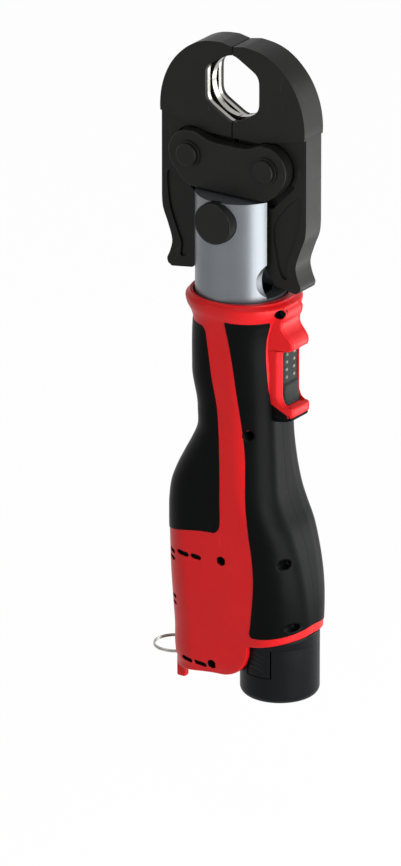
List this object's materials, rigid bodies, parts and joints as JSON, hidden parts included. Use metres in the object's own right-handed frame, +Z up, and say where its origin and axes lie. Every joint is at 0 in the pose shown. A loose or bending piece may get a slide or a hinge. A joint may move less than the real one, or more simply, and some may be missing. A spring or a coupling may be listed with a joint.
{
  "type": "press tool",
  "caption": "Inline cordless press tool: two-lever press jaw pinned in a round fork head, grip body with trigger and hydraulic drive, slide-in round battery and lanyard ring.",
  "frame": {"origin": "centre of the press bore between the two jaw levers", "axes": "+Z up the tool axis, away from the battery; +Y along the press bore; +X towards the trigger"},
  "size_m": [0.1126, 0.0644, 0.405],
  "materials": {
    "black_steel": "phosphated, satin black",
    "bright_steel": "ground",
    "satin_metal": "satin nickel",
    "inner_alloy": "machined",
    "motor_iron": "plated",
    "red_plastic": "fine moulded grain",
    "black_rubber": "soft grip",
    "dark_plastic": "moulded",
    "bronze": "turned",
    "green_board": "coated"
  },
  "bodies": {
    "body": {"near_housing": "red_plastic", "far_housing": "red_plastic", "near_front_grip": "black_rubber", "far_front_grip": "black_rubber", "near_rear_grip": "black_rubber", "far_rear_grip": "black_rubber", "housing_screws": "black_steel", "switch_module": "dark_plastic", "trigger_spring": "bright_steel", "pump_block": "inner_alloy", "pump_plunger": "bright_steel", "oil_bladder": "black_rubber", "ring_gear": "bright_steel", "motor_can": "motor_iron", "motor_end_cap": "dark_plastic", "control_board": "green_board", "contact_block": "dark_plastic", "swivel_bush": "bronze", "lanyard_post": "bright_steel"},
    "head": {"fork_head": "satin_metal", "front_side_plate": "black_steel", "rear_side_plate": "black_steel", "left_pivot_bolt": "black_steel", "right_pivot_bolt": "black_steel", "bolt_snap_rings": "black_steel", "rod_gland": "bronze", "cylinder_tube": "satin_metal", "swivel_circlip": "black_steel", "return_spring": "bright_steel"},
    "ram": {"roller_carrier": "satin_metal", "roller_pins": "bright_steel", "piston": "satin_metal", "piston_seal": "black_rubber"},
    "left_jaw": {"left_jaw_lever": "black_steel"},
    "right_jaw": {"right_jaw_lever": "black_steel"},
    "left_wheel": {"left_roller": "bright_steel"},
    "right_wheel": {"right_roller": "bright_steel"},
    "lock_pin": {"retaining_pin": "black_steel"},
    "trigger": {"trigger": "dark_plastic"},
    "rotor": {"motor_rotor": "motor_iron", "sun_gear": "bright_steel"},
    "carrier": {"planet_carrier": "inner_alloy", "eccentric_bearing": "bright_steel"},
    "planet_a": {"planet_gear_a": "bright_steel"},
    "planet_b": {"planet_gear_b": "bright_steel"},
    "planet_c": {"planet_gear_c": "bright_steel"},
    "battery": {"battery_case": "dark_plastic", "battery_cells": "inner_alloy", "battery_contacts": "bronze"},
    "near_latch": {"near_battery_latch": "dark_plastic"},
    "far_latch": {"far_battery_latch": "dark_plastic"},
    "lanyard": {"lanyard_ring": "bright_steel"}
  },
  "joints": [
    {"name": "head_swivel", "type": "hinge", "parent": "body", "child": "head", "pos_m": [0, 0, -0.134], "axis": [0, 0, 1], "range_deg": [-90, 90]},
    {"name": "press_stroke", "type": "slide", "parent": "head", "child": "ram", "axis": [0, 0, 1], "range_m": [-0.03, 0], "deforming": ["return_spring"]},
    {"name": "right_jaw_hinge", "type": "hinge", "parent": "head", "child": "right_jaw", "pos_m": [0.027, 0, -0.044], "axis": [0, 1, 0], "range_deg": [0, 14]},
    {"name": "left_jaw_hinge", "type": "hinge", "parent": "head", "child": "left_jaw", "pos_m": [-0.027, 0, -0.044], "axis": [0, -1, 0], "range_deg": [0, 14]},
    {"name": "right_roller_spin", "type": "hinge", "parent": "ram", "child": "right_wheel", "pos_m": [0.0085, 0, -0.09806], "axis": [0, 1, 0], "range_deg": [-220, 0]},
    {"name": "left_roller_spin", "type": "hinge", "parent": "ram", "child": "left_wheel", "pos_m": [-0.0085, 0, -0.09806], "axis": [0, -1, 0], "range_deg": [-220, 0]},
    {"name": "retaining_pin_pull", "type": "slide", "parent": "head", "child": "lock_pin", "axis": [0, -1, 0], "range_m": [0, 0.056]},
    {"name": "trigger_press", "type": "slide", "parent": "body", "child": "trigger", "axis": [-1, 0, 0], "range_m": [0, 0.004], "stiffness_N_per_m": 900, "springref_m": -0.003, "deforming": ["trigger_spring"]},
    {"name": "motor_spin", "type": "hinge", "parent": "body", "child": "rotor", "pos_m": [0, 0, -0.25], "axis": [0, 0, 1], "continuous": true},
    {"name": "carrier_spin", "type": "hinge", "parent": "body", "child": "carrier", "pos_m": [0, 0, -0.23], "axis": [0, 0, 1], "continuous": true},
    {"name": "battery_slide", "type": "slide", "parent": "body", "child": "battery", "axis": [0, 0, -1], "range_m": [0, 0.08]},
    {"name": "near_latch_press", "type": "slide", "parent": "battery", "child": "near_latch", "axis": [0, 1, 0], "range_m": [0, 0.0012], "stiffness_N_per_m": 900, "springref_m": -0.001},
    {"name": "far_latch_press", "type": "slide", "parent": "battery", "child": "far_latch", "axis": [0, -1, 0], "range_m": [0, 0.0012], "stiffness_N_per_m": 900, "springref_m": -0.001},
    {"name": "lanyard_flap", "type": "hinge", "parent": "body", "child": "lanyard", "pos_m": [-0.03362, 0, -0.363], "axis": [0, 1, 0], "range_deg": [-12, 20]},
    {"name": "planet_a_spin", "type": "hinge", "parent": "carrier", "child": "planet_a", "pos_m": [0.0108, 0, -0.232], "axis": [0, 0, 1], "continuous": true},
    {"name": "planet_b_spin", "type": "hinge", "parent": "carrier", "child": "planet_b", "pos_m": [-0.0054, 0.00935, -0.232], "axis": [0, 0, 1], "continuous": true},
    {"name": "planet_c_spin", "type": "hinge", "parent": "carrier", "child": "planet_c", "pos_m": [-0.0054, -0.00935, -0.232], "axis": [0, 0, 1], "continuous": true}
  ],
  "couplings": [
    {"joint": "right_jaw_hinge", "follows": "press_stroke", "rad_per_m": -8.1449},
    {"joint": "left_jaw_hinge", "follows": "press_stroke", "rad_per_m": -8.1449},
    {"joint": "right_roller_spin", "follows": "press_stroke", "rad_per_m": 125},
    {"joint": "left_roller_spin", "follows": "press_stroke", "rad_per_m": 125},
    {"joint": "carrier_spin", "follows": "motor_spin", "ratio": 0.25},
    {"joint": "planet_a_spin", "follows": "motor_spin", "ratio": -0.75},
    {"joint": "planet_b_spin", "follows": "motor_spin", "ratio": -0.75},
    {"joint": "planet_c_spin", "follows": "motor_spin", "ratio": -0.75}
  ]
}
